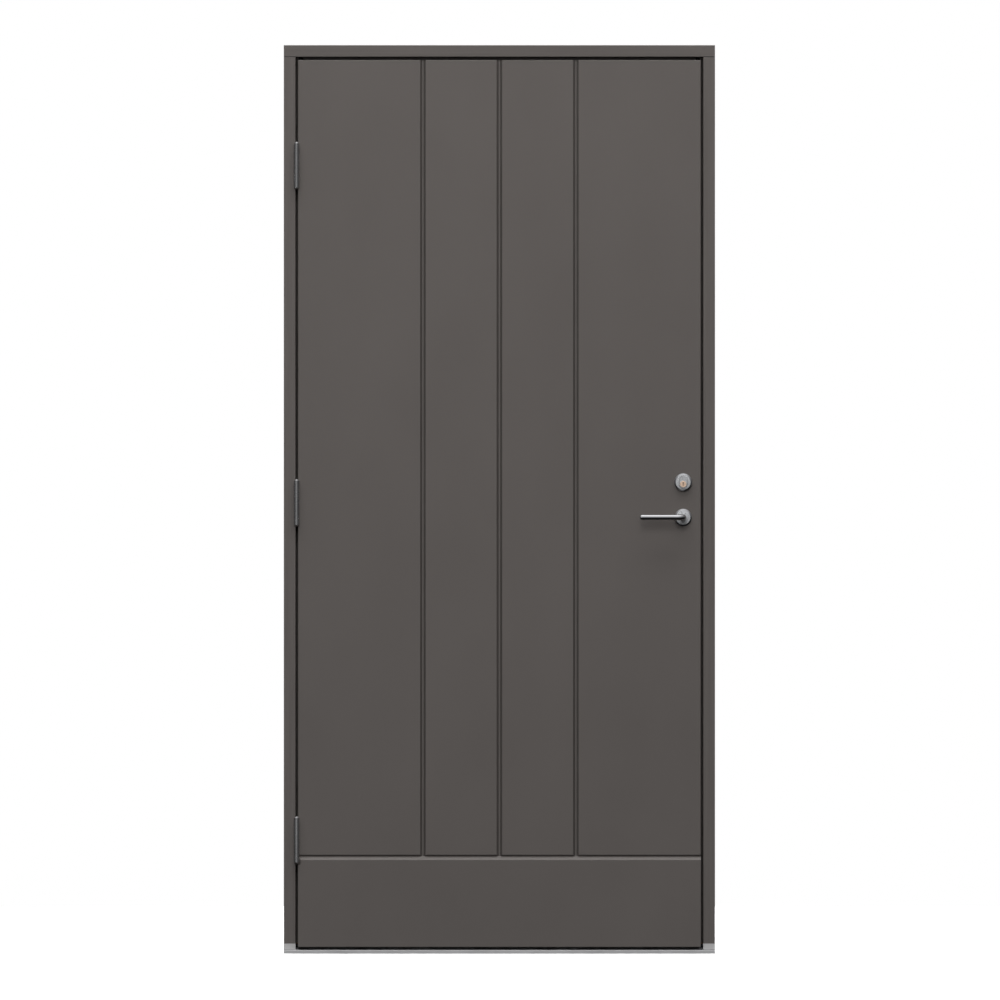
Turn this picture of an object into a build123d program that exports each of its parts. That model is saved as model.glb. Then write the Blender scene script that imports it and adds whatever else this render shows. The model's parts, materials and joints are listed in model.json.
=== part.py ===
from build123d import *

import math
import os

# Exterior door: an outward-opening grooved leaf on three knuckle hinges in a rebated timber frame.
# Millimetres: X to the right as seen from outside, Y into the building, Z up.
# The origin is on the floor, midway between the jambs, in the plane of the frame's outer face.

os.makedirs("parts", exist_ok=True)

# Frame timber
frame_width = 992.0
frame_height = 2090.0
frame_depth = 105.0
frame_face = 27.0  # width of jambs and head as seen from outside
stop_overlap = 12.0  # how far the stop covers the edge of the leaf
seal_space = 8.0  # between the leaf's inner face and the stop
arris = 1.0  # eased edge of painted timber

# Threshold
threshold_height = 23.0
sill_nose_height = 8.3
sill_projection = 8.0  # how far the metal nose stands in front of the frame
sill_sheet = 3.0
sill_nose_round = 1.0

# Seals
seal_width = 9.0
seal_base = 3.0
seal_margin = 1.5  # from the edge of the stop
seal_play = 0.6  # the relaxed bulb stops this short of the leaf
seal_stem = 2.6  # thickness of the stem that holds the seal in its kerf
seal_stem_depth = 6.0
kerf_play = 0.2

# Leaf
leaf_thickness = 62.0
side_gap = 5.7
head_gap = 7.6
sill_gap = 7.0
lock_edge_bevel = 3.0  # taper of the closing edge, so that its inner corner swings clear
panel_thickness = 12.0
stile_width = 90.0
top_rail_height = 90.0
bottom_rail_height = 130.0

# Grooves routed in both faces
groove_count = 3
groove_spacing = 176.0
groove_width = 13.0
groove_floor = 3.5
groove_depth = 7.0

# Kick board
kick_height = 209.2
kick_proud = 5.0
kick_rebate = 4.5  # how deep the board is let into the panel
kick_bevel = 9.0  # height of the sloping top edge
kick_shadow_lip = 3.0  # height of the undercut edge of the panel above the board
kick_drip = 1.0  # chamfer under the front edge

# Hinges
hinge_setback_top = 242.4  # from the top of the leaf to the middle of the highest hinge
hinge_setback_bottom = 246.0  # from the bottom of the leaf to the middle of the lowest hinge
hinge_length = 108.5
knuckle_radius = 6.5
knuckle_stand_off = 8.0  # from the door's face to the hinge axis
knuckle_bevel = 3.5
knuckle_gap = 0.3
knuckle_relief = 2.5  # room round the knuckle in the kick board
pin_radius = 4.0
pin_engagement = 35.0
pin_play = 0.05
pin_head_room = 1.0
plate_thickness = 2.5
plate_inset = 7.0  # from the door's face to the plate
plate_reach = 40.0  # from the door's face to the plate's far edge
plate_corner = 6.0
mortise_play = 0.2

# Fixing holes through the jambs
fixing_setback = 143.0  # from each end of the jamb to the nearest hole
fixing_count = 4
fixing_radius = 5.0
fixing_head_radius = 9.0
fixing_head_depth = 12.0

# Lever handle
handle_height = 1003.5
handle_backset = 40.6  # from the closing edge of the leaf to the spindle
lever_radius = 6.9
lever_stand_off = 48.0  # from the door's face to the axis of the grip
lever_reach = 101.0  # from the spindle axis to the tip
lever_bend_radius = 14.0
lever_tip_round = 6.0
lever_root = 1.0  # from the door's face to the root of the neck
lever_play = 0.3  # between the neck and the rose that carries it
spindle_side = 8.0
spindle_grip = 25.0  # how deep the spindle reaches into each lever
spindle_play = 0.05
spindle_hole_radius = 9.0
follower_play = 0.8  # round the corners of the spindle inside the lock
rose_radius = 20.0
rose_rim = 6.0
rose_lean = 0.5  # how far the rim leans in
rose_crown = 2.0  # rise of the coned face from the rim to the middle
rose_bevel = 3.0
bevel_slope = 0.55  # fall of the bevel on a turned rim for its width

# Lock
cylinder_rise = 81.0  # from the spindle to the middle of the cylinder
cylinder_width = 18.5
cylinder_height = 28.0
ring_wall = 6.0  # round the ends of the cylinder, rim included
ring_lean = 0.5  # how far the ring's side leans in
ring_rim = 9.5
ring_crown = 1.5  # rise of the coned face from the rim to the middle
ring_bevel = 3.0
cylinder_proud = 1.0
cylinder_play = 0.3
plug_wall = 1.85  # of the cylinder round its plug
plug_play = 0.08
plug_length = 24.0
plug_proud = 0.6
keyway_width = 2.2
keyway_height = 8.6
keyway_depth = 9.0
turn_length = 34.0
turn_width = 11.0
turn_height = 19.0
turn_stem_radius = 5.0
turn_bevel = 2.0
case_thickness = 16.0
case_depth = 60.0
case_margin = 55.0  # above the cylinder and below the spindle
case_play = 0.5
faceplate_width = 20.0
faceplate_thickness = 3.0
faceplate_ear = 20.0  # beyond the case at each end
faceplate_corner = 6.0
latch_height = 26.0
latch_thickness = 12.0
bolt_height = 38.0
bolt_thickness = 12.0
bolt_length = 14.0
bolt_play = 0.2
latch_slope = 6.0
strike_width = 26.0
strike_thickness = 2.5
strike_margin = 3.0  # room round the bolts in the strike plate
strike_pocket = 12.0

# Places that follow from the sizes above
half_width = frame_width / 2
rebate_x = half_width - frame_face
leaf_half = rebate_x - side_gap
stop_x = leaf_half - stop_overlap
stop_front = leaf_thickness + seal_space
head_underside = frame_height - frame_face
leaf_top = head_underside - head_gap
leaf_bottom = sill_nose_height + sill_gap
leaf_height = leaf_top - leaf_bottom
head_stop_underside = leaf_top - stop_overlap
jamb_height = head_underside - threshold_height
core_thickness = leaf_thickness - 2 * panel_thickness
kick_top = leaf_bottom + kick_height
hinge_x = -(leaf_half + side_gap / 2)
hinge_y = -knuckle_stand_off
plate_height = hinge_length - 2 * knuckle_bevel
hinge_lowest = leaf_bottom + hinge_setback_bottom
hinge_highest = leaf_top - hinge_setback_top
hinge_heights = {
    "bottom": hinge_lowest,
    "middle": (hinge_lowest + hinge_highest) / 2,
    "top": hinge_highest,
}
spindle_x = leaf_half - handle_backset
follower_radius = spindle_side * math.sqrt(2) / 2 + follower_play
cylinder_z = handle_height + cylinder_rise
cylinder_lobe = (cylinder_height - cylinder_width) / 2
plug_z = cylinder_z - cylinder_lobe
plug_radius = cylinder_width / 2 - plug_wall
ring_height = ring_rim + ring_crown
ring_face_radius = cylinder_height / 2 + ring_wall
ring_radius = ring_face_radius + ring_lean
rose_thickness = rose_rim + rose_crown
middle_y = leaf_thickness / 2
case_front = middle_y - case_thickness / 2
case_back = middle_y + case_thickness / 2
case_bottom = handle_height - case_margin
case_top = cylinder_z + case_margin
seal_bulb = seal_space - seal_play - seal_base
seal_inset = seal_margin + seal_width / 2
upstand_top = threshold_height - seal_margin - seal_width - kerf_play
kerf_width = seal_stem + 2 * kerf_play
kerf_depth = seal_stem_depth + kerf_play
fixing_lowest = threshold_height + fixing_setback
fixing_spacing = (jamb_height - 2 * fixing_setback) / (fixing_count - 1)
fixing_heights = [fixing_lowest + i * fixing_spacing for i in range(fixing_count)]


def closing_edge(y):
    """Where the tapered closing edge of the leaf is at a depth behind its outer face."""
    return leaf_half - lock_edge_bevel * y / leaf_thickness


faceplate_x = closing_edge(middle_y + faceplate_width / 2)


def write_piece(piece, name):
    """Labels a finished piece and writes its file."""
    piece.part.label = name
    export_step(piece.part, f"parts/{name}.step")


# Frame timber


def jamb_section(side):
    """Section of a jamb seen from above: a board with the stop standing on its inner half."""
    outer, inner, stop = side * half_width, side * rebate_x, side * stop_x
    with BuildSketch(Plane.XY.offset(threshold_height)) as section:
        with BuildLine():
            Polyline(
                (outer, 0),
                (inner, 0),
                (inner, stop_front),
                (stop, stop_front),
                (stop, frame_depth),
                (outer, frame_depth),
                close=True,
            )
        make_face()
        corners = section.vertices().sort_by_distance((inner, stop_front, threshold_height))
        chamfer(corners[1:], length=arris)
        with Locations((side * (stop_x + seal_inset), stop_front)):
            Rectangle(
                kerf_width, kerf_depth, align=(Align.CENTER, Align.MIN), mode=Mode.SUBTRACT
            )
    return section.sketch


def fixing_planes(side):
    """One plane at each fixing hole, on the rebate's face and looking out of the jamb."""
    return [
        Plane((side * rebate_x, middle_y, z), x_dir=(0, 1, 0), z_dir=(-side, 0, 0))
        for z in fixing_heights
    ]


def hinge_outline(side, height, play=0.0):
    """Outline of a hinge plate with the strip that leads to its knuckle. Side 1 is the leaf's half."""
    with BuildSketch(Plane.YZ.offset(hinge_x + side * side_gap / 2)) as outline:
        with Locations(((plate_inset + plate_reach) / 2, height)):
            RectangleRounded(
                plate_reach - plate_inset + 2 * play, plate_height + 2 * play, plate_corner
            )
        strip_near = height + side * knuckle_gap / 2
        strip_far = height + side * plate_height / 2
        with Locations(((hinge_y + plate_inset + plate_corner) / 2, (strip_near + strip_far) / 2)):
            Rectangle(
                plate_inset + plate_corner - hinge_y, abs(strip_far - strip_near) + 2 * play
            )
    return outline.sketch


with BuildPart() as hinge_jamb:
    extrude(jamb_section(-1), amount=jamb_height)
    chamfer(hinge_jamb.faces().sort_by(Axis.Y)[0].edges().sort_by(Axis.Z)[-1], length=arris)
    for height in hinge_heights.values():
        extrude(
            hinge_outline(-1, height, mortise_play), amount=-plate_thickness, mode=Mode.SUBTRACT
        )
    with Locations(*fixing_planes(-1)):
        CounterBoreHole(fixing_radius, fixing_head_radius, fixing_head_depth, frame_face)
write_piece(hinge_jamb, "hinge_jamb")

strike_middle = (handle_height + cylinder_z) / 2
strike_height = case_top - case_bottom
# Heights of the two bolts, with the size of each
bolts = {
    "latch_bolt": (handle_height, latch_height, latch_thickness),
    "dead_bolt": (cylinder_z, bolt_height, bolt_thickness),
}

with BuildPart() as lock_jamb:
    extrude(jamb_section(1), amount=jamb_height)
    chamfer(lock_jamb.faces().sort_by(Axis.Y)[0].edges().sort_by(Axis.Z)[-1], length=arris)
    with BuildSketch(Plane.YZ.offset(rebate_x)):
        with Locations((middle_y, strike_middle)):
            RectangleRounded(
                strike_width + 2 * mortise_play, strike_height + 2 * mortise_play, plate_corner
            )
    extrude(amount=strike_thickness, mode=Mode.SUBTRACT)
    with BuildSketch(Plane.YZ.offset(rebate_x)):
        for height, tall, thick in bolts.values():
            with Locations((middle_y, height)):
                Rectangle(thick + 2 * strike_margin, tall + 2 * strike_margin)
    extrude(amount=strike_thickness + strike_pocket, mode=Mode.SUBTRACT)
    with Locations(*fixing_planes(1)):
        CounterBoreHole(fixing_radius, fixing_head_radius, fixing_head_depth, frame_face)
write_piece(lock_jamb, "lock_jamb")

with BuildPart() as head:
    with BuildSketch(Plane.YZ):
        with Locations((frame_depth / 2, head_underside + frame_face / 2)):
            Rectangle(frame_depth, frame_face)
    extrude(amount=half_width, both=True)
    chamfer(head.edges().filter_by(Axis.X), length=arris)
    with BuildSketch(Plane.YZ) as stop_section:
        with BuildLine():
            Polyline(
                (stop_front, head_underside),
                (stop_front, head_stop_underside),
                (frame_depth, head_stop_underside),
                (frame_depth, head_underside + arris),
                (stop_front, head_underside + arris),
                close=True,
            )
        make_face()
        chamfer(stop_section.vertices().group_by(Axis.Y)[0], length=arris)
        with Locations((stop_front, head_stop_underside + seal_inset)):
            Rectangle(
                kerf_depth, kerf_width, align=(Align.MIN, Align.CENTER), mode=Mode.SUBTRACT
            )
    extrude(amount=stop_x, both=True)
write_piece(head, "head")

# Threshold

with BuildPart() as threshold:
    with BuildSketch(Plane.YZ) as section:
        with BuildLine():
            Polyline(
                (sill_sheet - sill_projection, 0),
                (frame_depth, 0),
                (frame_depth, threshold_height),
                (stop_front, threshold_height),
                (stop_front, sill_nose_height - sill_sheet),
                (sill_sheet - sill_projection, sill_nose_height - sill_sheet),
                close=True,
            )
        make_face()
        chamfer(section.vertices().group_by(Axis.Y)[-1], length=arris)
        with Locations((stop_front, threshold_height - seal_inset)):
            Rectangle(
                kerf_depth, kerf_width, align=(Align.MIN, Align.CENTER), mode=Mode.SUBTRACT
            )
    extrude(amount=half_width, both=True)
write_piece(threshold, "threshold")

# A metal plate over the outer half of the threshold, with an upstand behind the leaf and a nose in front
with BuildPart() as sill_plate:
    with BuildSketch(Plane.YZ) as section:
        with BuildLine():
            Polyline(
                (-sill_projection, 0),
                (sill_sheet - sill_projection, 0),
                (sill_sheet - sill_projection, sill_nose_height - sill_sheet),
                (stop_front, sill_nose_height - sill_sheet),
                (stop_front, upstand_top),
                (stop_front - sill_sheet, upstand_top),
                (stop_front - sill_sheet, sill_nose_height),
                (-sill_projection, sill_nose_height),
                close=True,
            )
        make_face()
        fillet(section.vertices().group_by(Axis.X)[0].sort_by(Axis.Y)[-1], sill_nose_round)
    extrude(amount=half_width, both=True)
write_piece(sill_plate, "sill_plate")

foot_depth = stop_front - sill_sheet
for name, side in (("hinge_jamb_foot", -1), ("lock_jamb_foot", 1)):
    with BuildPart() as foot:
        with BuildSketch(Plane.XY.offset(sill_nose_height)):
            with Locations((side * (rebate_x + half_width) / 2, foot_depth / 2)):
                Rectangle(frame_face, foot_depth)
        extrude(amount=threshold_height - sill_nose_height)
        chamfer(foot.faces().sort_by(Axis.Y)[0].edges().sort_by(Axis.Z)[0], length=arris)
    write_piece(foot, name)

# Seals


def seal_section(plane):
    """Section of a seal: a stem in the stop, a flat base and a bulb that stands along the plane's Y."""
    half = seal_width / 2
    with BuildSketch(plane) as section:
        with BuildLine():
            Polyline((half, seal_base), (half, 0), (-half, 0), (-half, seal_base))
            ThreePointArc((-half, seal_base), (0, seal_base + seal_bulb), (half, seal_base))
        make_face()
        Rectangle(seal_stem, seal_stem_depth, align=(Align.CENTER, Align.MAX))
    return section.sketch


for name, side in (("hinge_side_seal", -1), ("lock_side_seal", 1)):
    upright = Plane(
        (side * (stop_x + seal_inset), stop_front, threshold_height),
        x_dir=(-1, 0, 0),
        z_dir=(0, 0, 1),
    )
    with BuildPart() as side_seal:
        extrude(seal_section(upright), amount=jamb_height)
    write_piece(side_seal, name)

with BuildPart() as head_seal:
    level = Plane(
        (0, stop_front, head_stop_underside + seal_inset), x_dir=(0, 0, 1), z_dir=(1, 0, 0)
    )
    extrude(seal_section(level), amount=stop_x, both=True)
write_piece(head_seal, "head_seal")

with BuildPart() as threshold_seal:
    level = Plane((0, stop_front, threshold_height - seal_inset), x_dir=(0, 0, 1), z_dir=(1, 0, 0))
    extrude(seal_section(level), amount=rebate_x, both=True)
write_piece(threshold_seal, "threshold_seal")

# Hinges: lift-off halves, the leaf's knuckle above the frame's

for place, height in hinge_heights.items():
    for body, side in (("leaf", 1), ("frame", -1)):
        with BuildPart() as hinge_half:
            joint_face = Plane.XY.offset(height + side * knuckle_gap / 2)
            with BuildSketch(joint_face):
                with Locations((hinge_x, hinge_y)):
                    Circle(knuckle_radius)
            extrude(amount=side * (hinge_length - knuckle_gap) / 2)
            rims = hinge_half.edges().filter_by(GeomType.CIRCLE).sort_by(Axis.Z)
            chamfer(rims[-1] if side > 0 else rims[0], length=knuckle_bevel)
            extrude(hinge_outline(side, height), amount=side * plate_thickness)
            with BuildSketch(joint_face):
                with Locations((hinge_x, hinge_y)):
                    Circle(pin_radius + pin_play)
            bore_depth = pin_engagement + (pin_head_room if side > 0 else 0)
            extrude(amount=side * bore_depth, mode=Mode.SUBTRACT)
        write_piece(hinge_half, f"{body}_hinge_{place}")

with BuildPart() as hinge_pins:
    with Locations(*[(hinge_x, hinge_y, height) for height in hinge_heights.values()]):
        Cylinder(pin_radius, 2 * pin_engagement + knuckle_gap)
write_piece(hinge_pins, "hinge_pins")

# Leaf


def groove_cut(plane, rotation=0):
    """The routed grooves, wide at the face and narrow at their floor."""
    wall_angle = math.degrees(math.atan2(groove_depth, (groove_width - groove_floor) / 2))
    with BuildSketch(plane) as grooves:
        with GridLocations(groove_spacing, groove_spacing, groove_count, 1):
            Trapezoid(
                groove_width,
                groove_depth,
                wall_angle,
                rotation=rotation,
                align=(Align.CENTER, Align.MIN),
            )
    return grooves.sketch


def leaf_slice(left, near, far):
    """Plan of a piece of the leaf that reaches from its left side to the tapered closing edge."""
    with BuildSketch(Plane.XY.offset(leaf_bottom)) as plan:
        with BuildLine():
            Polyline(
                (left, near),
                (closing_edge(near), near),
                (closing_edge(far), far),
                (left, far),
                close=True,
            )
        make_face()
    return plan.sketch


def cylinder_outline(plane, play=0.0):
    """The oval outline of the lock cylinder."""
    with BuildSketch(plane) as outline:
        with Locations((spindle_x, cylinder_z)):
            SlotOverall(cylinder_height + 2 * play, cylinder_width + 2 * play, rotation=90)
    return outline.sketch


def round_outline(plane, height, radius):
    """A circle above the handle's middle line, at a height."""
    with BuildSketch(plane) as outline:
        with Locations((spindle_x, height)):
            Circle(radius)
    return outline.sketch


outer_face = Plane.XZ
inner_face = Plane.XZ.offset(-leaf_thickness)

with BuildPart() as outer_panel:
    extrude(leaf_slice(-leaf_half, 0, panel_thickness), amount=leaf_height)
    chamfer(outer_panel.faces().sort_by(Axis.Y)[0].edges(), length=arris)
    extrude(groove_cut(Plane.XY.offset(kick_top)), amount=leaf_top - kick_top, mode=Mode.SUBTRACT)
    with BuildSketch(Plane.YZ):
        with BuildLine():
            Polyline(
                (0, leaf_bottom),
                (kick_rebate, leaf_bottom),
                (kick_rebate, kick_top),
                (0, kick_top + kick_shadow_lip),
                close=True,
            )
        make_face()
    extrude(amount=half_width, both=True, mode=Mode.SUBTRACT)
    for height in hinge_heights.values():
        extrude(hinge_outline(1, height, mortise_play), amount=plate_thickness, mode=Mode.SUBTRACT)
    extrude(
        round_outline(outer_face, handle_height, spindle_hole_radius),
        amount=-panel_thickness,
        mode=Mode.SUBTRACT,
    )
    extrude(
        cylinder_outline(outer_face, cylinder_play), amount=-panel_thickness, mode=Mode.SUBTRACT
    )
write_piece(outer_panel, "outer_panel")

with BuildPart() as inner_panel:
    extrude(
        leaf_slice(-leaf_half, leaf_thickness - panel_thickness, leaf_thickness),
        amount=leaf_height,
    )
    chamfer(inner_panel.faces().sort_by(Axis.Y)[-1].edges(), length=arris)
    inner_groove_plane = Plane((0, leaf_thickness, leaf_bottom))
    extrude(groove_cut(inner_groove_plane, 180), amount=leaf_height, mode=Mode.SUBTRACT)
    extrude(
        round_outline(inner_face, handle_height, spindle_hole_radius),
        amount=panel_thickness,
        mode=Mode.SUBTRACT,
    )
    extrude(
        round_outline(inner_face, cylinder_z, turn_stem_radius + cylinder_play),
        amount=panel_thickness,
        mode=Mode.SUBTRACT,
    )
write_piece(inner_panel, "inner_panel")

with BuildPart() as hinge_stile:
    with BuildSketch(Plane.XY.offset(leaf_bottom)):
        with Locations((-leaf_half + stile_width / 2, middle_y)):
            Rectangle(stile_width, core_thickness)
    extrude(amount=leaf_height)
    for height in hinge_heights.values():
        extrude(hinge_outline(1, height, mortise_play), amount=plate_thickness, mode=Mode.SUBTRACT)
write_piece(hinge_stile, "hinge_stile")

case_right = faceplate_x - faceplate_thickness
with BuildPart() as lock_stile:
    extrude(
        leaf_slice(leaf_half - stile_width, panel_thickness, leaf_thickness - panel_thickness),
        amount=leaf_height,
    )
    with BuildSketch(Plane.YZ.offset(case_right)):
        with Locations((middle_y, strike_middle)):
            Rectangle(case_thickness + 2 * case_play, strike_height + 2 * case_play)
    extrude(amount=-(case_depth + case_play), mode=Mode.SUBTRACT)
    with BuildSketch(Plane.YZ.offset(case_right)):
        with Locations((middle_y, strike_middle)):
            RectangleRounded(
                faceplate_width + 2 * mortise_play,
                strike_height + 2 * faceplate_ear + 2 * mortise_play,
                faceplate_corner,
            )
    extrude(amount=faceplate_thickness + lock_edge_bevel, mode=Mode.SUBTRACT)
    extrude(
        round_outline(inner_face, handle_height, spindle_hole_radius),
        amount=leaf_thickness,
        mode=Mode.SUBTRACT,
    )
    extrude(cylinder_outline(outer_face, cylinder_play), amount=-case_front, mode=Mode.SUBTRACT)
    extrude(
        round_outline(inner_face, cylinder_z, turn_stem_radius + cylinder_play),
        amount=leaf_thickness - case_back,
        mode=Mode.SUBTRACT,
    )
write_piece(lock_stile, "lock_stile")

rail_length = 2 * (leaf_half - stile_width)
core_bottom = leaf_bottom + bottom_rail_height
core_top = leaf_top - top_rail_height
for name, low, high in (
    ("bottom_rail", leaf_bottom, core_bottom),
    ("insulation_core", core_bottom, core_top),
    ("top_rail", core_top, leaf_top),
):
    with BuildPart() as filling:
        with BuildSketch(Plane.XY.offset(low)):
            with Locations((0, middle_y)):
                Rectangle(rail_length, core_thickness)
        extrude(amount=high - low)
    write_piece(filling, name)

with BuildPart() as kick_board:
    with BuildSketch(Plane.YZ):
        with BuildLine():
            Polyline(
                (kick_rebate, leaf_bottom),
                (kick_rebate, kick_top),
                (-kick_proud, kick_top - kick_bevel),
                (-kick_proud, leaf_bottom + kick_drip),
                (kick_drip - kick_proud, leaf_bottom),
                close=True,
            )
        make_face()
    extrude(amount=leaf_half, both=True)
    with BuildSketch(Plane.XY.offset(hinge_lowest - hinge_length / 2 - knuckle_relief)):
        with Locations((hinge_x, hinge_y)):
            Circle(knuckle_radius + knuckle_relief)
    extrude(amount=hinge_length, mode=Mode.SUBTRACT)
write_piece(kick_board, "kick_board")

# Lock

with BuildPart() as lock_case:
    with BuildSketch(Plane.YZ.offset(case_right)):
        with Locations((middle_y, strike_middle)):
            Rectangle(case_thickness, strike_height)
    extrude(amount=-case_depth)
    with BuildSketch(Plane.YZ.offset(case_right)):
        with Locations((middle_y, strike_middle)):
            RectangleRounded(
                faceplate_width, strike_height + 2 * faceplate_ear, faceplate_corner
            )
    extrude(amount=faceplate_thickness)
    with BuildSketch(Plane.YZ.offset(faceplate_x)):
        for height, tall, thick in bolts.values():
            with Locations((middle_y, height)):
                Rectangle(thick + 2 * bolt_play, tall + 2 * bolt_play)
    extrude(amount=-bolt_length, mode=Mode.SUBTRACT)
    extrude(
        round_outline(inner_face, handle_height, follower_radius),
        amount=leaf_thickness,
        mode=Mode.SUBTRACT,
    )
write_piece(lock_case, "lock_case")

for name, (height, tall, thick) in bolts.items():
    with BuildPart() as bolt:
        with BuildSketch(Plane.YZ.offset(faceplate_x)):
            with Locations((middle_y, height)):
                Rectangle(thick, tall)
        extrude(amount=-bolt_length)
        if name == "latch_bolt":
            closing_side = bolt.edges().filter_by(Axis.Z).group_by(Axis.X)[-1].sort_by(Axis.Y)[-1]
            chamfer(closing_side, length=latch_slope)
    write_piece(bolt, name)

with BuildPart() as strike_plate:
    with BuildSketch(Plane.YZ.offset(rebate_x)):
        with Locations((middle_y, strike_middle)):
            RectangleRounded(strike_width, strike_height, plate_corner)
        for height, tall, thick in bolts.values():
            with Locations((middle_y, height)):
                Rectangle(thick + 2 * strike_margin, tall + 2 * strike_margin, mode=Mode.SUBTRACT)
    extrude(amount=strike_thickness)
write_piece(strike_plate, "strike_plate")


def turned_section(face_y, outward, height, radius, lean, rim, crown, bevel):
    """Half section of a turned disc on a face of the leaf: a leaning rim, a bevel and a coned face."""
    with BuildSketch(Plane((spindle_x, face_y, height))) as section:
        with BuildLine():
            Polyline(
                (0, 0),
                (radius, 0),
                (radius - lean, outward * (rim - bevel * bevel_slope)),
                (radius - lean - bevel, outward * rim),
                (0, outward * (rim + crown)),
                close=True,
            )
        make_face()
    return section.sketch


cylinder_axis = Axis((spindle_x, 0, cylinder_z), (0, 1, 0))
spindle_axis = Axis((spindle_x, 0, handle_height), (0, 1, 0))

with BuildPart() as cylinder_ring:
    revolve(
        turned_section(0, -1, cylinder_z, ring_radius, ring_lean, ring_rim, ring_crown, ring_bevel),
        axis=cylinder_axis,
    )
    extrude(cylinder_outline(outer_face, cylinder_play), amount=ring_height, mode=Mode.SUBTRACT)
write_piece(cylinder_ring, "cylinder_ring")

with BuildPart() as lock_cylinder:
    extrude(cylinder_outline(outer_face), amount=ring_height + cylinder_proud)
    chamfer(lock_cylinder.faces().sort_by(Axis.Y)[0].edges(), length=cylinder_proud / 2)
    extrude(cylinder_outline(outer_face), amount=-case_front)
    cylinder_front = Plane.XZ.offset(ring_height + cylinder_proud)
    extrude(
        round_outline(cylinder_front, plug_z, plug_radius + plug_play),
        amount=plug_proud - plug_length,
        mode=Mode.SUBTRACT,
    )
write_piece(lock_cylinder, "lock_cylinder")

plug_front = Plane.XZ.offset(ring_height + cylinder_proud + plug_proud)
with BuildPart() as cylinder_plug:
    extrude(round_outline(plug_front, plug_z, plug_radius), amount=-plug_length)
    chamfer(cylinder_plug.faces().sort_by(Axis.Y)[0].edges(), length=plug_proud)
    with BuildSketch(plug_front):
        with Locations((spindle_x, plug_z)):
            Rectangle(keyway_width, keyway_height)
    extrude(amount=-keyway_depth, mode=Mode.SUBTRACT)
write_piece(cylinder_plug, "cylinder_plug")

with BuildPart() as thumbturn_rose:
    revolve(
        turned_section(
            leaf_thickness, 1, cylinder_z, ring_radius, ring_lean, ring_rim, ring_crown, ring_bevel
        ),
        axis=cylinder_axis,
    )
    extrude(
        round_outline(inner_face, cylinder_z, turn_stem_radius + cylinder_play),
        amount=-ring_height,
        mode=Mode.SUBTRACT,
    )
write_piece(thumbturn_rose, "thumbturn_rose")

turn_base = Plane.XZ.offset(-(leaf_thickness + ring_height + cylinder_play))
with BuildPart() as thumbturn:
    with BuildSketch(turn_base):
        with Locations((spindle_x, cylinder_z)):
            SlotOverall(turn_length, turn_width, rotation=90)
    extrude(amount=-turn_height)
    chamfer(thumbturn.faces().sort_by(Axis.Y)[-1].edges(), length=turn_bevel)
    extrude(
        round_outline(turn_base, cylinder_z, turn_stem_radius),
        amount=leaf_thickness + ring_height + cylinder_play - case_back,
    )
write_piece(thumbturn, "thumbturn")

# Lever handle

sides = {"outer": (0.0, -1), "inner": (leaf_thickness, 1)}

for place, (face_y, outward) in sides.items():
    with BuildPart() as rose:
        revolve(
            turned_section(
                face_y, outward, handle_height, rose_radius, rose_lean, rose_rim, rose_crown, rose_bevel
            ),
            axis=spindle_axis,
        )
        extrude(
            round_outline(Plane.XZ.offset(-face_y), handle_height, lever_radius + lever_play),
            amount=-outward * rose_thickness,
            mode=Mode.SUBTRACT,
        )
    write_piece(rose, f"{place}_rose")

for place, (face_y, outward) in sides.items():
    root_y = face_y + outward * lever_root
    grip_y = face_y + outward * lever_stand_off
    root = Plane((spindle_x, root_y, handle_height), x_dir=(1, 0, 0), z_dir=(0, outward, 0))
    with BuildPart() as lever:
        with BuildLine():
            FilletPolyline(
                (spindle_x, root_y, handle_height),
                (spindle_x, grip_y, handle_height),
                (spindle_x - lever_reach, grip_y, handle_height),
                radius=lever_bend_radius,
            )
        with BuildSketch(root):
            Circle(lever_radius)
        sweep()
        fillet(lever.faces().sort_by(Axis.X)[0].edges(), lever_tip_round)
        with BuildSketch(root):
            Rectangle(spindle_side + 2 * spindle_play, spindle_side + 2 * spindle_play)
        extrude(amount=spindle_grip, mode=Mode.SUBTRACT)
    write_piece(lever, f"{place}_lever")

with BuildPart() as spindle:
    with BuildSketch(Plane.XZ.offset(lever_root + spindle_grip)):
        with Locations((spindle_x, handle_height)):
            Rectangle(spindle_side, spindle_side)
    extrude(amount=-(leaf_thickness + 2 * (lever_root + spindle_grip)))
write_piece(spindle, "spindle")
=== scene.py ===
import json
import math

import bmesh
import bpy
from mathutils import Matrix, Vector


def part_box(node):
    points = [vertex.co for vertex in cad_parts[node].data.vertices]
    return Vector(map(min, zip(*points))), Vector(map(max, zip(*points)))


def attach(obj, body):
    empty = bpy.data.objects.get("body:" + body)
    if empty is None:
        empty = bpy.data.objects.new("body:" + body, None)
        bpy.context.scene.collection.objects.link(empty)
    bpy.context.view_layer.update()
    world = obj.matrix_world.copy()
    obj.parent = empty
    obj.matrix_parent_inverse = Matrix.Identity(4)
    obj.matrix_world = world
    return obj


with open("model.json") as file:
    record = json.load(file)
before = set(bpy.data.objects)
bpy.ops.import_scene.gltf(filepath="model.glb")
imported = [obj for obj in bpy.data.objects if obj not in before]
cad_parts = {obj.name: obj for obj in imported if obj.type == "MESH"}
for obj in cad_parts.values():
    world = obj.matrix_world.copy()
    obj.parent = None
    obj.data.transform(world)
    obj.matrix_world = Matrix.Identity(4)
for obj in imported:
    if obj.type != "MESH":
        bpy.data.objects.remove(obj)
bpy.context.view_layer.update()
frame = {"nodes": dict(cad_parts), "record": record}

# Looks of an exterior door set, in metres and in the frame's own axes: +X right as seen from outside,
# +Y into the building, +Z up, with the origin on the floor at the middle of the frame's outer face.

MILLIMETRE = 0.001
SMOOTH_ANGLE = math.radians(32)

# Round pieces: points on each ring, and where a rounded rim bends, as a share of its height
LOOP_POINTS = 48
RIM_KNEE = 0.3

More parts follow.
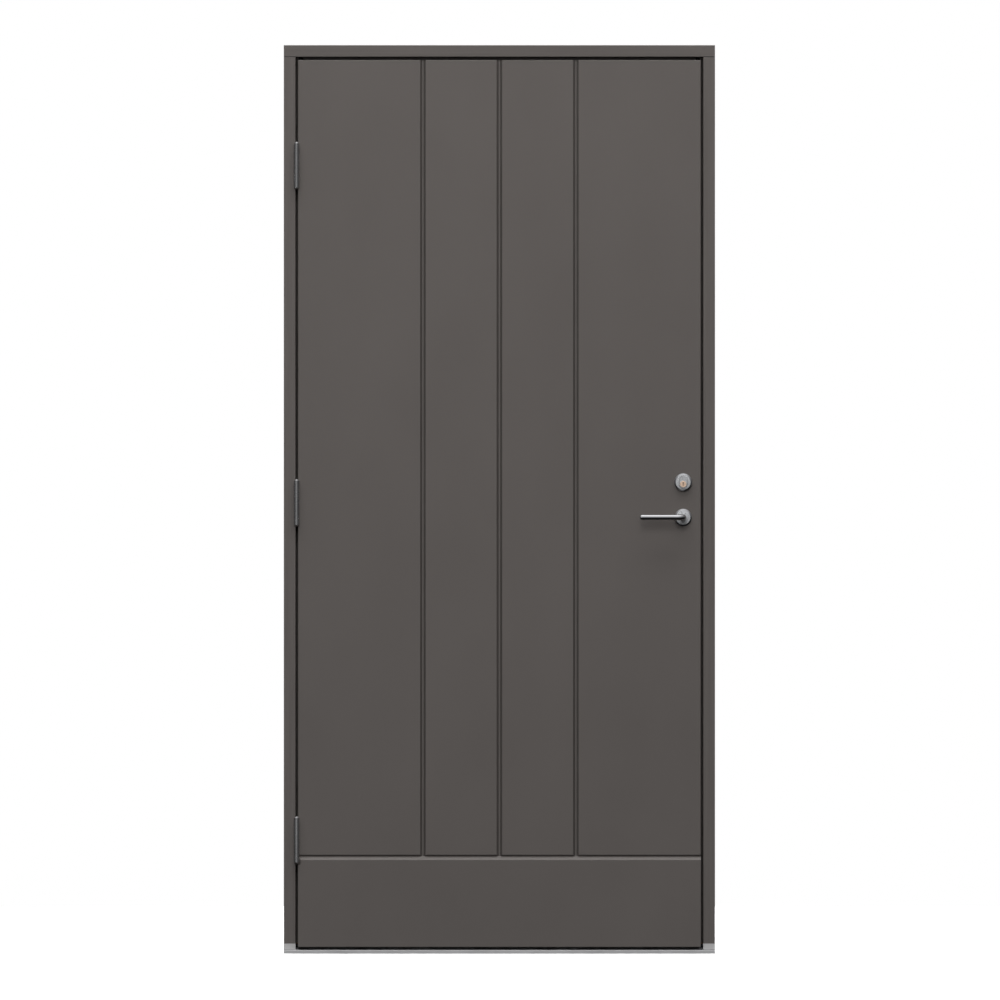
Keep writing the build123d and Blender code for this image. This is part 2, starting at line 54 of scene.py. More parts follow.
# Index of the second finish in a piece's list
SECOND_FINISH = 1

# Screws: low heads with a six-lobed recess; shares are of the head's radius
SCREW_PROUD = 0.0005
SCREW_RIM = 0.0004
SCREW_ROOT = 0.0016
SCREW_ROOT_SHARE = 0.7
RECESS_DEPTH = 0.00045
RECESS_EDGE = 0.0002
RECESS_SHARE = 0.5
RECESS_LOBES = 6
RECESS_WAVE = 0.16

# Screws' radius, number, spacing, inset from the edges of what they hold, and step of a zigzag
HINGE_SCREW = 0.0042
HINGE_SCREWS = 4
HINGE_SCREW_PITCH = 0.026
HINGE_SCREW_INSET = 0.010
HINGE_SCREW_STAGGER = 0.013
LOCK_SCREW = 0.0040
LOCK_SCREW_INSET = 0.0095
SILL_SCREW = 0.0040
SILL_SCREWS = 4
SILL_SCREW_PITCH = 0.24
SILL_SCREW_INSET = 0.022

# Caps in the jambs' fixing holes; shares are of the cap's radius
CAP_RADIUS = 0.0089
CAP_RIM = 0.0006
CAP_THICKNESS = 0.004
CAP_DISH = 0.0008
CAP_LIP_SHARE = 0.62
CAP_FLOOR_SHARE = 0.50

# Dark beads in the joints of the frame, as painted shade that darkens the joint lines: depth of their face
# and root behind the frame's front, half height, inset of the upper ones' ends, and play of the lower ones
# to what they lie on
BEAD_FACE = 0.00025
BEAD_ROOT = 0.00085
BEAD_HALF = 0.00065
BEAD_INSET = 0.0011
BEAD_PLAY = 0.00005

# Camera: width of what it shows at the door, lens, sensor, reach, and the point that its middle looks at
VIEW_WIDTH = 2.3005
CAMERA_LENS = 600.0
SENSOR_WIDTH = 36.0
CLIP_END = 200.0
LOOK_AT = Vector((0.0014, 0.0, 1.0435))

# Studio: the floor, the brightness of the sky against the sine of elevation, its tint, the share of it that
# dark flags take away at the sides, and the white that shows behind the door
FLOOR_RADIUS = 4.5
FLOOR_SIDES = 96
SKY_LEVELS = ((-1.0, 0.0), (-0.45, 0.01), (-0.1, 0.10), (0.19, 0.24), (0.5, 0.50), (0.77, 0.9), (1.0, 1.25))
SKY_BLUE = 1.01
SIDE_FLAGS = 0.8
BACKDROP_WHITE = 1.0


# Materials


class Finish:
    """A node material of one principled shader, whose patterns are laid out in metres on the object."""

    def __init__(self, name, metallic=0.0, specular=0.5):
        self.material = bpy.data.materials.new(name)
        self.material.use_nodes = True
        self.nodes = self.material.node_tree.nodes
        self.links = self.material.node_tree.links
        self.shader = self.nodes["Principled BSDF"]
        self.shader.inputs["Metallic"].default_value = metallic
        self.shader.inputs["Specular IOR Level"].default_value = specular
        self.place = self.nodes.new("ShaderNodeTexCoord").outputs["Object"]
        self.normal = None

    def noise(self, per_metre, detail=3.0, roughness=0.5, distortion=0.0):
        """A noise with so many waves to the metre along X, Y and Z."""
        stretch = self.nodes.new("ShaderNodeMapping")
        stretch.inputs["Scale"].default_value = per_metre
        self.links.new(self.place, stretch.inputs["Vector"])
        texture = self.nodes.new("ShaderNodeTexNoise")
        texture.inputs["Scale"].default_value = 1.0
        texture.inputs["Detail"].default_value = detail
        texture.inputs["Roughness"].default_value = roughness
        texture.inputs["Distortion"].default_value = distortion
        self.links.new(stretch.outputs["Vector"], texture.inputs["Vector"])
        return texture.outputs["Fac"]

    def rings(self, centre, per_metre, distortion):
        """Turned marks: circles around an axis along Y through centre."""
        move = self.nodes.new("ShaderNodeMapping")
        move.inputs["Location"].default_value = -centre
        self.links.new(self.place, move.inputs["Vector"])
        texture = self.nodes.new("ShaderNodeTexWave")
        texture.wave_type = "RINGS"
        texture.rings_direction = "Y"
        texture.inputs["Scale"].default_value = per_metre
        texture.inputs["Distortion"].default_value = distortion
        self.links.new(move.outputs["Vector"], texture.inputs["Vector"])
        return texture.outputs["Fac"]

    def colour(self, pattern, dark, light, low=0.3, high=0.7):
        """Colours the surface from dark to light, as the pattern goes from low to high."""
        ramp = self.nodes.new("ShaderNodeValToRGB")
        first, last = ramp.color_ramp.elements
        first.position, last.position = low, high
        first.color, last.color = (*dark, 1.0), (*light, 1.0)
        self.links.new(pattern, ramp.inputs["Fac"])
        self.links.new(ramp.outputs["Color"], self.shader.inputs["Base Color"])

    def roughness(self, pattern, smooth, rough, low=0.3, high=0.7):
        """Sets the gloss from smooth to rough, as the pattern goes from low to high."""
        spread = self.nodes.new("ShaderNodeMapRange")
        for socket, value in zip(("From Min", "From Max", "To Min", "To Max"), (low, high, smooth, rough)):
            spread.inputs[socket].default_value = value
        self.links.new(pattern, spread.inputs["Value"])
        self.links.new(spread.outputs["Result"], self.shader.inputs["Roughness"])

    def relief(self, pattern, depth, strength):
        """Raises the surface with the pattern, by depth in metres; reliefs add up."""
        bump = self.nodes.new("ShaderNodeBump")
        bump.inputs["Distance"].default_value = depth
        bump.inputs["Strength"].default_value = strength
        self.links.new(pattern, bump.inputs["Height"])
        if self.normal:
            self.links.new(self.normal, bump.inputs["Normal"])
        self.normal = bump.outputs["Normal"]
        self.links.new(self.normal, self.shader.inputs["Normal"])


def leaf_paint():
    """Sprayed satin paint: even, with a fine orange peel and a faint cloudiness."""
    paint = Finish("leaf_paint", specular=0.65)
    cloud = paint.noise(per_metre=(5, 5, 3), detail=4)
    peel = paint.noise(per_metre=(520, 520, 520), detail=2)
    paint.colour(cloud, dark=(0.100, 0.0895, 0.0835), light=(0.108, 0.0970, 0.0905))
    paint.roughness(peel, smooth=0.40, rough=0.50)
    paint.relief(peel, depth=0.00006, strength=0.6)
    return paint.material


def groove_shade_paint():
    """The leaf's paint on the walls of its routed grooves, where it lies rougher, with a darker colour as
    painted shade.
    """
    paint = Finish("groove_shade_paint", specular=0.4)
    mottle = paint.noise(per_metre=(60, 60, 9), detail=5, roughness=0.6)
    peel = paint.noise(per_metre=(520, 520, 520), detail=2)
    # Painted shade: the walls take a darker colour than the leaf's paint, mottled at random.
    paint.colour(mottle, dark=(0.072, 0.0645, 0.0605), light=(0.084, 0.0755, 0.0705))
    paint.roughness(mottle, smooth=0.55, rough=0.68)
    paint.relief(peel, depth=0.00006, strength=0.6)
    return paint.material


def frame_paint(name, streaks_per_metre, bands_per_metre):
    """Brushed paint on timber, through which the grain shows as faint streaks."""
    paint = Finish(name, specular=0.65)
    streak = paint.noise(per_metre=streaks_per_metre, detail=4, roughness=0.6)
    band = paint.noise(per_metre=bands_per_metre, detail=2)
    paint.colour(streak, dark=(0.093, 0.0830, 0.0775), light=(0.113, 0.1015, 0.0950))
    paint.roughness(band, smooth=0.42, rough=0.54)
    paint.relief(streak, depth=0.00012, strength=0.5)
    return paint.material


def oak():
    """Oiled oak with its grain along X."""
    wood = Finish("oak", specular=0.35)
    grain = wood.noise(per_metre=(3, 90, 90), detail=6, roughness=0.65, distortion=0.6)
    pores = wood.noise(per_metre=(26, 900, 900), detail=2)
    wood.colour(grain, dark=(0.15, 0.078, 0.034), light=(0.36, 0.215, 0.108), low=0.32, high=0.68)
    wood.roughness(grain, smooth=0.42, rough=0.58)
    wood.relief(pores, depth=0.0002, strength=0.5)
    return wood.material


def sill_metal():
    """Anodised aluminium, brushed along X and scuffed by feet."""
    metal = Finish("sill_metal", metallic=0.2, specular=0.4)
    brushing = metal.noise(per_metre=(4, 1500, 1500), detail=3)
    scuffs = metal.noise(per_metre=(22, 60, 60), detail=5, roughness=0.65)
    metal.colour(scuffs, dark=(0.42, 0.42, 0.425), light=(0.52, 0.52, 0.525))
    metal.roughness(brushing, smooth=0.46, rough=0.60)
    metal.relief(brushing, depth=0.00004, strength=0.5)
    return metal.material


def foot_plastic():
    """Moulded grey plastic with a fine spark texture."""
    plastic = Finish("foot_plastic", specular=0.4)
    spark = plastic.noise(per_metre=(700, 700, 700), detail=3)
    cloud = plastic.noise(per_metre=(60, 60, 60), detail=3)
    plastic.colour(cloud, dark=(0.39, 0.385, 0.385), light=(0.44, 0.435, 0.435))
    plastic.roughness(spark, smooth=0.48, rough=0.62)
    plastic.relief(spark, depth=0.00008, strength=0.5)
    return plastic.material


def seal_rubber():
    """Black extruded rubber, matt and a little dusty."""
    rubber = Finish("seal_rubber", specular=0.3)
    mottle = rubber.noise(per_metre=(140, 140, 30), detail=5, roughness=0.6)
    rubber.colour(mottle, dark=(0.010, 0.010, 0.011), light=(0.026, 0.026, 0.027))
    rubber.roughness(mottle, smooth=0.55, rough=0.75)
    rubber.relief(mottle, depth=0.00005, strength=0.5)
    return rubber.material


def hinge_steel():
    """Zinc-plated steel of the knuckles and pins, with a satin face drawn along Z."""
    steel = Finish("hinge_steel", metallic=0.96)
    drawn = steel.noise(per_metre=(900, 900, 12), detail=3)
    patches = steel.noise(per_metre=(70, 70, 40), detail=4)
    steel.colour(patches, dark=(0.44, 0.44, 0.445), light=(0.54, 0.54, 0.545))
    steel.roughness(drawn, smooth=0.20, rough=0.30)
    steel.relief(drawn, depth=0.00003, strength=0.4)
    return steel.material


def plate_zinc():
    """Dull zinc on the hinges' plates, with the spangle of the plating."""
    zinc = Finish("plate_zinc", metallic=0.6)
    spangle = zinc.noise(per_metre=(240, 240, 240), detail=3)
    smears = zinc.noise(per_metre=(40, 40, 16), detail=4)
    zinc.colour(smears, dark=(0.46, 0.465, 0.475), light=(0.56, 0.565, 0.575))
    zinc.roughness(spangle, smooth=0.32, rough=0.46)
    zinc.relief(spangle, depth=0.00003, strength=0.4)
    return zinc.material


def lock_steel():
    """Brushed stainless steel with its lines along Z."""
    steel = Finish("lock_steel", metallic=0.65)
    lines = steel.noise(per_metre=(1400, 1400, 6), detail=3)
    smears = steel.noise(per_metre=(30, 30, 14), detail=4)
    steel.colour(smears, dark=(0.50, 0.49, 0.48), light=(0.60, 0.59, 0.58))
    steel.roughness(lines, smooth=0.24, rough=0.40)
    steel.relief(lines, depth=0.00003, strength=0.5)
    return steel.material


def handle_chrome():
    """Polished chrome, dulled a little by handling."""
    chrome = Finish("handle_chrome", metallic=1.0)
    smudges = chrome.noise(per_metre=(55, 55, 55), detail=5, roughness=0.6)
    chrome.colour(smudges, dark=(0.74, 0.745, 0.76), light=(0.80, 0.805, 0.82))
    chrome.roughness(smudges, smooth=0.05, rough=0.10)
    return chrome.material


def satin_chrome():
    """Brushed chrome of the roses' faces, which scatters the light in front of it."""
    chrome = Finish("satin_chrome", metallic=0.45)
    smudges = chrome.noise(per_metre=(70, 70, 70), detail=5, roughness=0.6)
    chrome.colour(smudges, dark=(0.53, 0.54, 0.555), light=(0.62, 0.63, 0.645))
    chrome.roughness(smudges, smooth=0.24, rough=0.32)
    return chrome.material


def rim_chrome():
    """Chrome of the roses' rims, where the brushing runs out."""
    chrome = Finish("rim_chrome", metallic=1.0)
    smudges = chrome.noise(per_metre=(90, 90, 90), detail=4, roughness=0.6)
    chrome.colour(smudges, dark=(0.50, 0.505, 0.52), light=(0.58, 0.585, 0.60))
    chrome.roughness(smudges, smooth=0.26, rough=0.34)
    return chrome.material


def plug_brass(centre):
    """Turned brass with fine rings about the plug's axis."""
    brass = Finish("plug_brass", metallic=0.25)
    turned = brass.rings(centre, per_metre=700, distortion=0.6)
    tarnish = brass.noise(per_metre=(160, 160, 160), detail=4)
    brass.colour(tarnish, dark=(0.66, 0.46, 0.33), light=(0.80, 0.60, 0.46))
    brass.roughness(turned, smooth=0.26, rough=0.38)
    brass.relief(turned, depth=0.00002, strength=0.5)
    return brass.material


def insulation():
    """Grey foam board with small open cells."""
    foam = Finish("insulation", specular=0.2)
    cells = foam.noise(per_metre=(420, 420, 420), detail=2)
    foam.colour(cells, dark=(0.30, 0.30, 0.31), light=(0.52, 0.52, 0.53))
    foam.roughness(cells, smooth=0.80, rough=0.95)
    foam.relief(cells, depth=0.0004, strength=0.6)
    return foam.material


def screw_steel():
    """Bright zinc on the screws' heads."""
    steel = Finish("screw_steel", metallic=0.7)
    patches = steel.noise(per_metre=(500, 500, 500), detail=3)
    steel.colour(patches, dark=(0.44, 0.44, 0.45), light=(0.56, 0.56, 0.57))
    steel.roughness(patches, smooth=0.28, rough=0.40)
    return steel.material


def recess_shade():
    """Dull metal in the screws' recesses, nearly black as painted shade."""
    shade_finish = Finish("recess_shade", metallic=0.3)
    mottle = shade_finish.noise(per_metre=(600, 600, 600), detail=3)
    # Painted shade: the recess's colour is nearly black, mottled at random.
    shade_finish.colour(mottle, dark=(0.030, 0.030, 0.031), light=(0.075, 0.073, 0.070))
    shade_finish.roughness(mottle, smooth=0.55, rough=0.75)
    return shade_finish.material


def cap_plastic():
    """Dark moulded plastic in the tone of the paint."""
    plastic = Finish("cap_plastic", specular=0.4)
    spark = plastic.noise(per_metre=(800, 800, 800), detail=3)
    plastic.colour(spark, dark=(0.080, 0.072, 0.068), light=(0.098, 0.089, 0.084))
    plastic.roughness(spark, smooth=0.45, rough=0.58)
    plastic.relief(spark, depth=0.00006, strength=0.5)
    return plastic.material


FINISHES = {
    "leaf_paint": leaf_paint(),
    "groove_shade_paint": groove_shade_paint(),
    "jamb_paint": frame_paint("frame_paint", streaks_per_metre=(150, 150, 3), bands_per_metre=(40, 40, 3)),
    "head_paint": frame_paint("head_paint", streaks_per_metre=(3, 150, 150), bands_per_metre=(3, 40, 40)),
    "oak": oak(),
    "sill_metal": sill_metal(),
    "foot_plastic": foot_plastic(),
    "seal_rubber": seal_rubber(),
    "hinge_steel": hinge_steel(),
    "plate_zinc": plate_zinc(),
    "lock_steel": lock_steel(),
    "handle_chrome": handle_chrome(),
    "satin_chrome": satin_chrome(),
    "rim_chrome": rim_chrome(),
    "plug_brass": plug_brass(sum(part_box("cylinder_plug"), Vector()) / 2),
    "insulation": insulation(),
    "screw_steel": screw_steel(),
    "recess_shade": recess_shade(),
    "cap_plastic": cap_plastic(),
}


# Added pieces

# Half of the width between the jambs' rebates, where the strike plate lies
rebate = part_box("strike_plate")[0].x


def centred_row(count, pitch):
    """Places on a line, evenly spaced about zero."""
    return [pitch * (index - (count - 1) / 2) for index in range(count)]


def loop(mesh, place, depth, radius, wave=0.0):
    """A ring of points around the local Z axis, at a depth below the top; wave gives it six lobes."""
    points = []
    for index in range(LOOP_POINTS):
        angle = 2 * math.pi * index / LOOP_POINTS
        reach = radius * (1 + wave * math.cos(RECESS_LOBES * angle))
        point = Vector((reach * math.cos(angle), reach * math.sin(angle), -depth))
        points.append(mesh.verts.new(place @ point))
    return points


def skin(mesh, loops):
    """Joins each ring of points to the next, closes both ends and gives the faces from first to last."""
    faces = [mesh.faces.new(list(reversed(loops[0])))]
    for outer, inner in zip(loops, loops[1:]):
        for index in range(LOOP_POINTS):
            after = (index + 1) % LOOP_POINTS
            faces.append(mesh.faces.new((outer[index], outer[after], inner[after], inner[index])))
    faces.append(mesh.faces.new(loops[-1]))
    return faces


def facing(point, direction):
    """The frame of a round piece at a point of a surface, with its local Z pointing out along direction."""
    return Matrix.Translation(point) @ Vector(direction).to_track_quat("Z", "Y").to_matrix().to_4x4()


def add_screw(mesh, point, direction, radius):
    """A low screw head on a plate, with a six-lobed recess whose wall and floor take the second finish."""
    place = facing(Vector(point) + Vector(direction) * SCREW_PROUD, direction)
    recess = radius * RECESS_SHARE
    faces = skin(mesh, (
        loop(mesh, place, SCREW_ROOT, radius * SCREW_ROOT_SHARE),
        loop(mesh, place, SCREW_RIM, radius),
        loop(mesh, place, SCREW_RIM * RIM_KNEE, radius - SCREW_RIM * RIM_KNEE),
        loop(mesh, place, 0.0, radius - SCREW_RIM),
        loop(mesh, place, 0.0, recess + RECESS_EDGE, RECESS_WAVE),
        loop(mesh, place, RECESS_EDGE, recess, RECESS_WAVE),
        loop(mesh, place, RECESS_DEPTH, recess, RECESS_WAVE),
    ))
    # The recess's wall and floor take the second finish, its painted shade.
    for face in faces[-LOOP_POINTS - 1:]:
        face.material_index = SECOND_FINISH


def add_cap(mesh, point, direction, radius):
    """A round cap that closes a counterbored hole, flush with the face, with a shallow dish in it."""
    place = facing(Vector(point), direction)
    skin(mesh, (
        loop(mesh, place, CAP_THICKNESS, radius - CAP_RIM),
        loop(mesh, place, CAP_RIM, radius),
        loop(mesh, place, CAP_RIM * RIM_KNEE, radius - CAP_RIM * RIM_KNEE),
        loop(mesh, place, 0.0, radius - CAP_RIM),
        loop(mesh, place, 0.0, radius * CAP_LIP_SHARE),
        loop(mesh, place, CAP_DISH, radius * CAP_FLOOR_SHARE),
    ))


def add_bead(mesh, start, end, section):
    """A thin bead along X from start to end, with three corners in Y and Z."""
    near, far = [[mesh.verts.new((x, y, z)) for y, z in section] for x in (start, end)]
    for index in range(len(section)):
        mesh.faces.new((near[index - 1], near[index], far[index], far[index - 1]))
    mesh.faces.new(near)
    mesh.faces.new(list(reversed(far)))


def finish_piece(mesh, name, body, slot, *materials):
    """Turns a bmesh into a piece that rides on a body."""
    bmesh.ops.recalc_face_normals(mesh, faces=mesh.faces)
    data = bpy.data.meshes.new(name)
    mesh.to_mesh(data)
    mesh.free()
    data.shade_smooth()
    data.set_sharp_from_angle(angle=SMOOTH_ANGLE)
    for material in materials:
        data.materials.append(material)
    piece = bpy.data.objects.new(name, data)
    bpy.context.scene.collection.objects.link(piece)
    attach(piece, body)


def add_screws(name, body, slot, spots, direction, radius):
    """One piece with a screw at each spot of a plate."""
    mesh = bmesh.new()
    for spot in spots:
        add_screw(mesh, spot, direction, radius)
    finish_piece(mesh, name, body, slot, FINISHES["screw_steel"], FINISHES["recess_shade"])


def hinge_spots(x, centre, back):
    """Places of the screws in a zigzag on a hinge's plate."""
    heights = centred_row(HINGE_SCREWS, HINGE_SCREW_PITCH)
    return [(x, back - HINGE_SCREW_INSET - HINGE_SCREW_STAGGER * (index % 2), centre + height)
            for index, height in enumerate(heights)]


def add_hinge_screws():
    """Screws of both plates of each hinge, which face each other across the closed leaf's gap."""
    leaf_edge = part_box("hinge_stile")[0].x
    for place in ("top", "middle", "bottom"):
        plate_low, plate_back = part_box("leaf_hinge_" + place)[0].z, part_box("leaf_hinge_" + place)[1].y
        centre = (plate_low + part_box("frame_hinge_" + place)[1].z) / 2
        for body, x, side in (("leaf", leaf_edge, -1), ("frame", -rebate, 1)):
            spots = hinge_spots(x, centre, plate_back)
            name = f"{body}_hinge_screws_{place}"
            add_screws(name, body, "hinge_steel", spots, (side, 0, 0), HINGE_SCREW)


def add_lock_screws():
    """Two screws in the lock's faceplate and two in the strike plate."""
    for node, body, side in (("lock_case", "leaf", 1), ("strike_plate", "frame", -1)):
        low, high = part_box(node)
        x = high.x if side > 0 else low.x
        middle = (low.y + high.y) / 2
        spots = [(x, middle, low.z + LOCK_SCREW_INSET), (x, middle, high.z - LOCK_SCREW_INSET)]
        add_screws(node + "_screws", body, "lock_steel", spots, (side, 0, 0), LOCK_SCREW)


def add_sill_screws():
    """A row of screws in the sill plate's tread, which the jambs' feet stand on, under the closed leaf."""
    back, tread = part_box("sill_plate")[1].y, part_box("lock_jamb_foot")[0].z
    spots = [(x, back - SILL_SCREW_INSET, tread) for x in centred_row(SILL_SCREWS, SILL_SCREW_PITCH)]
    add_screws("sill_screws", "frame", "sill_metal", spots, (0, 0, 1), SILL_SCREW)


def add_fixing_caps():
    """Caps that close the jambs' counterbored fixing holes, four on each side."""
    for jamb, side in (("hinge", -1), ("lock", 1)):
        mesh = bmesh.new()
        for mount in frame["record"]["mounts"]:
            if mount["name"] in (jamb + "_jamb_outer_fixings", jamb + "_jamb_inner_fixings"):
                _, depth, middle = mount["pos_m"]
                reach = mount["dims"]["spacing_y_mm"] * MILLIMETRE / 2
                for height in (middle - reach, middle + reach):
                    add_cap(mesh, (side * rebate, depth, height), (-side, 0, 0), CAP_RADIUS)
        finish_piece(mesh, jamb + "_side_caps", "frame", "foot_plastic", FINISHES["cap_plastic"])


def add_joint_shade_beads():
    """Dark beads in the eased joints of the frame, between head and jambs and under the jambs' feet:
    painted shade that darkens the joint lines.
    """
    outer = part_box("head")[1].x
    mesh = bmesh.new()
    for jamb, side in (("hinge_jamb", -1), ("lock_jamb", 1)):
        start, end = sorted((side * rebate, side * outer))
        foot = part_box(jamb + "_foot")[0]
        face, root = foot.y + BEAD_FACE, foot.y + BEAD_ROOT
        top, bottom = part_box(jamb)[1].z, foot.z + BEAD_PLAY
        upper = ((face, top - BEAD_HALF), (face, top + BEAD_HALF), (root, top))
        lower = ((face, bottom), (face, bottom + BEAD_HALF), (root, bottom))
        add_bead(mesh, start + BEAD_INSET, end - BEAD_INSET, upper)
        add_bead(mesh, start + BEAD_PLAY, end - BEAD_PLAY, lower)
    # The beads take the black rubber, as painted shade.
    finish_piece(mesh, "frame_joint_shade_beads", "frame", "seal_rubber", FINISHES["seal_rubber"])


# Finishes of the frame's own nodes

NODE_FINISH = {
    "hinge_jamb": "jamb_paint", "lock_jamb": "jamb_paint", "head": "head_paint",
    "threshold": "oak", "sill_plate": "sill_metal",
    "hinge_jamb_foot": "foot_plastic", "lock_jamb_foot": "foot_plastic",
    "hinge_side_seal": "seal_rubber", "lock_side_seal": "seal_rubber",
    "head_seal": "seal_rubber", "threshold_seal": "seal_rubber",
    "frame_hinge_top": "hinge_steel", "leaf_hinge_top": "hinge_steel",
    "frame_hinge_middle": "hinge_steel", "leaf_hinge_middle": "hinge_steel",
    "frame_hinge_bottom": "hinge_steel", "leaf_hinge_bottom": "hinge_steel",
    "hinge_pins": "hinge_steel", "strike_plate": "lock_steel",
    "outer_panel": "leaf_paint", "inner_panel": "leaf_paint", "kick_board": "leaf_paint",
    "hinge_stile": "leaf_paint", "lock_stile": "leaf_paint",
    "top_rail": "leaf_paint", "bottom_rail": "leaf_paint", "insulation_core": "insulation",
    "lock_case": "lock_steel", "latch_bolt": "lock_steel", "dead_bolt": "lock_steel",
    "outer_rose": "satin_chrome", "inner_rose": "satin_chrome", "cylinder_ring": "satin_chrome",
    "thumbturn_rose": "satin_chrome", "thumbturn": "satin_chrome",
    "outer_lever": "handle_chrome", "inner_lever": "handle_chrome", "spindle": "lock_steel",
    "lock_cylinder": "satin_chrome", "cylinder_plug": "plug_brass",
}

# Nodes with a second finish on some of their faces
TURNED = ("outer_rose", "inner_rose", "cylinder_ring", "thumbturn_rose", "lock_cylinder")
GROOVED = ("outer_panel", "inner_panel")
HINGES = [node for node, finish in NODE_FINISH.items() if finish == "hinge_steel" and node != "hinge_pins"]

# Limits by which those faces are told from the others: the lean of a turned rim, the place and lean of a
# groove's walls, and the depth at which a hinge's plate starts
RIM_COSINE = 0.93
GROOVE_REACH = 0.3
GROOVE_LEAN = (0.5, 0.95)
PLATE_FRONT = 0.0


def on_rim(face):
    """Whether a face of a turned piece leans away from its axis."""
    return abs(face.normal.y) < RIM_COSINE


def on_groove_wall(face):
    """Whether a face of a panel is a sloping wall of one of its grooves."""
    return abs(face.center.x) < GROOVE_REACH and GROOVE_LEAN[0] < abs(face.normal.x) < GROOVE_LEAN[1]


def on_plate(face):
    """Whether a face of a hinge is on its plate, behind the knuckle."""
    return face.center.y > PLATE_FRONT


def dress_nodes():
    """Gives each node of the frame its finish."""
    for node, piece in frame["nodes"].items():
        piece.data.materials.clear()
        piece.data.materials.append(FINISHES[NODE_FINISH[node]])


def dress_faces(nodes, finish, chosen):
    """Gives a second finish to the chosen faces of some nodes."""
    for node in nodes:
        data = frame["nodes"][node].data
        data.materials.append(FINISHES[finish])
        for face in data.polygons:
            face.material_index = SECOND_FINISH if chosen(face) else 0


dress_nodes()
dress_faces(TURNED, "rim_chrome", on_rim)
# The grooves' walls take the darker paint, as painted shade.
dress_faces(GROOVED, "groove_shade_paint", on_groove_wall)
dress_faces(HINGES, "plate_zinc", on_plate)
add_hinge_screws()
add_lock_screws()
add_sill_screws()
add_fixing_caps()
add_joint_shade_beads()


# Studio: a pale floor, a soft sky that is bright overhead, and broad lights on all sides and above


def studio_floor():
    """A round sheet of pale paper under the door; beyond it the studio is plain white."""
    mesh = bmesh.new()
    bmesh.ops.create_circle(mesh, cap_ends=True, segments=FLOOR_SIDES, radius=FLOOR_RADIUS)
    data = bpy.data.meshes.new("floor")
    mesh.to_mesh(data)
    mesh.free()
    floor = bpy.data.objects.new("floor", data)
    bpy.context.scene.collection.objects.link(floor)
    paper = Finish("studio_paper", specular=0.0)
    fibres = paper.noise(per_metre=(0.4, 0.4, 0.4), detail=2)
    paper.colour(fibres, dark=(0.93, 0.93, 0.93), light=(0.96, 0.96, 0.96))
    data.materials.append(paper.material)
    floor.visible_diffuse = False
    floor.visible_glossy = False


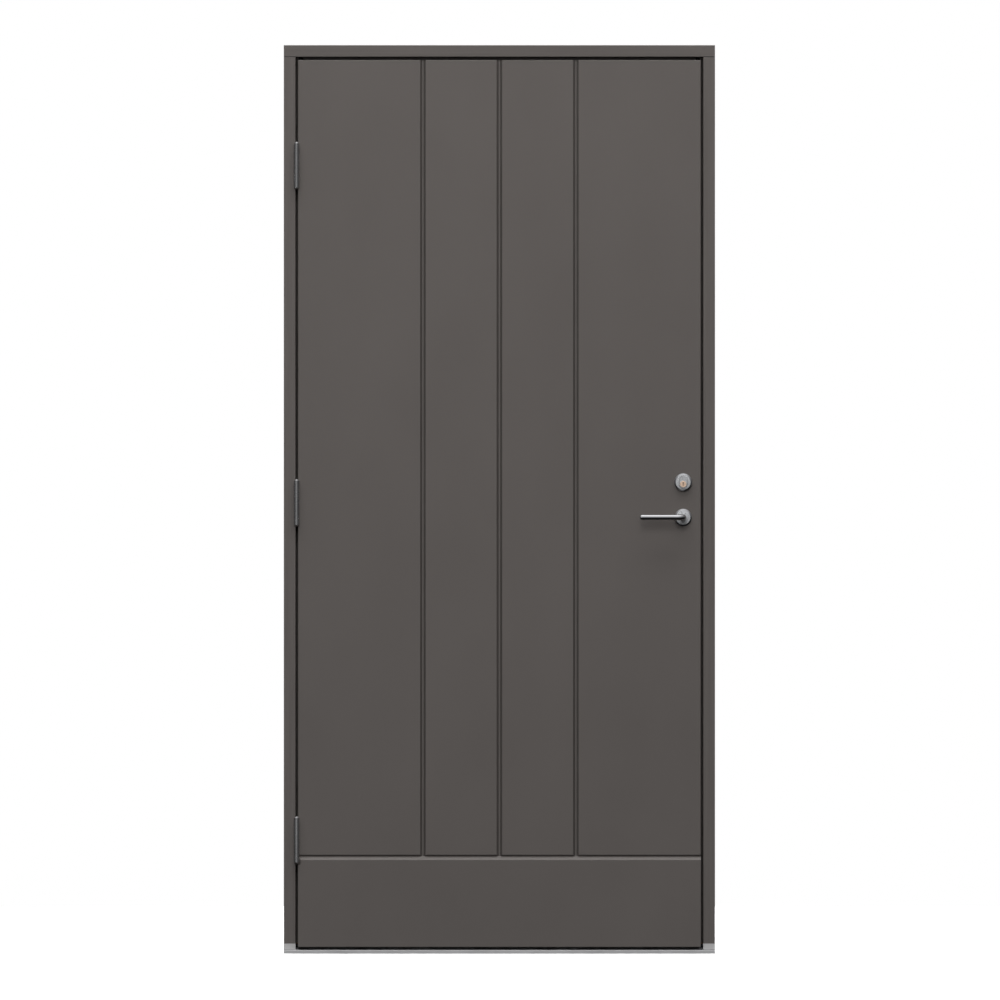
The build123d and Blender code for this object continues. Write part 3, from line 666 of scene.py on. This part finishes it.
def studio_sky():
    """Light from all round that depends on elevation, with dark flags to the left and right."""
    world = bpy.data.worlds.new("studio_sky")
    bpy.context.scene.world = world
    world.use_nodes = True
    nodes, links = world.node_tree.nodes, world.node_tree.links
    place = nodes.new("ShaderNodeTexCoord").outputs["Generated"]
    split = nodes.new("ShaderNodeSeparateXYZ")
    links.new(place, split.inputs["Vector"])
    spread = nodes.new("ShaderNodeMapRange")
    spread.inputs["From Min"].default_value = -1.0
    links.new(split.outputs["Z"], spread.inputs["Value"])
    ramp = nodes.new("ShaderNodeValToRGB")
    for _ in SKY_LEVELS[2:]:
        ramp.color_ramp.elements.new(1.0)
    for element, (sine, level) in zip(ramp.color_ramp.elements, SKY_LEVELS):
        element.position = (sine + 1) / 2
        element.color = (level, level, level * SKY_BLUE, 1.0)
    links.new(spread.outputs["Result"], ramp.inputs["Fac"])
    sky = nodes["Background"]
    links.new(ramp.outputs["Color"], sky.inputs["Color"])
    sideways = nodes.new("ShaderNodeMath")
    sideways.operation = "MULTIPLY"
    links.new(split.outputs["X"], sideways.inputs[0])
    links.new(split.outputs["X"], sideways.inputs[1])
    flags = nodes.new("ShaderNodeMath")
    flags.operation = "MULTIPLY_ADD"
    flags.inputs[1].default_value = -SIDE_FLAGS
    flags.inputs[2].default_value = 1.0
    links.new(sideways.outputs["Value"], flags.inputs[0])
    links.new(flags.outputs["Value"], sky.inputs["Strength"])
    backdrop = nodes.new("ShaderNodeBackground")
    backdrop.inputs["Color"].default_value = (BACKDROP_WHITE, BACKDROP_WHITE, BACKDROP_WHITE, 1.0)
    mix = nodes.new("ShaderNodeMixShader")
    links.new(nodes.new("ShaderNodeLightPath").outputs["Is Camera Ray"], mix.inputs["Fac"])
    links.new(sky.outputs["Background"], mix.inputs[1])
    links.new(backdrop.outputs["Background"], mix.inputs[2])
    links.new(mix.outputs["Shader"], nodes["World Output"].inputs["Surface"])


def studio_light(name, place, target, size, watts, diffuse=True, glossy=False):
    """A soft panel that shines on target; one that isn't glossy doesn't show in polished metal."""
    data = bpy.data.lights.new(name, "AREA")
    data.shape = "RECTANGLE"
    data.size, data.size_y = size
    data.energy = watts
    light = bpy.data.objects.new(name, data)
    light.location = place
    light.rotation_euler = (Vector(target) - Vector(place)).to_track_quat("-Z", "Y").to_euler()
    light.visible_camera = False
    light.visible_diffuse = diffuse
    light.visible_glossy = glossy
    bpy.context.scene.collection.objects.link(light)


def studio_lights():
    """Broad panels in front, behind, at both sides and above, and a faint one that only shows in gloss."""
    middle = (0.0, 0.0, 1.1)
    for name, side in (("key", -1), ("back", 1)):
        studio_light(name, place=(side * 0.14, side * 7.2, 3.5), target=middle, size=(2.3, 3.6), watts=275)
    for name, side in (("side_left", -1), ("side_right", 1)):
        edge = (side * 0.5, 0.1, 1.1)
        studio_light(name, place=(side * 5.0, 0.8, 1.6), target=edge, size=(2.0, 2.0), watts=130)
    studio_light("top", place=(0.0, 0.0, 6.5), target=(0.0, 0.0, 0.0), size=(7.0, 7.0), watts=680)
    studio_light("left", place=(-2.7, -5.5, 1.2), target=(-0.4, 0.0, 1.1), size=(3.4, 3.0), watts=11,
                 diffuse=False, glossy=True)


def studio_camera():
    """A long lens straight in front of the door, so that its sides don't show."""
    data = bpy.data.cameras.new("camera")
    data.lens = CAMERA_LENS
    data.sensor_width = SENSOR_WIDTH
    distance = VIEW_WIDTH * CAMERA_LENS / SENSOR_WIDTH
    data.clip_end = CLIP_END
    camera = bpy.data.objects.new("camera", data)
    camera.location = LOOK_AT + Vector((0, -distance, 0))
    camera.rotation_euler = (math.pi / 2, 0, 0)
    bpy.context.scene.collection.objects.link(camera)
    bpy.context.scene.camera = camera


studio_floor()
studio_sky()
studio_lights()
studio_camera()
bpy.context.scene.view_settings.view_transform = "Standard"
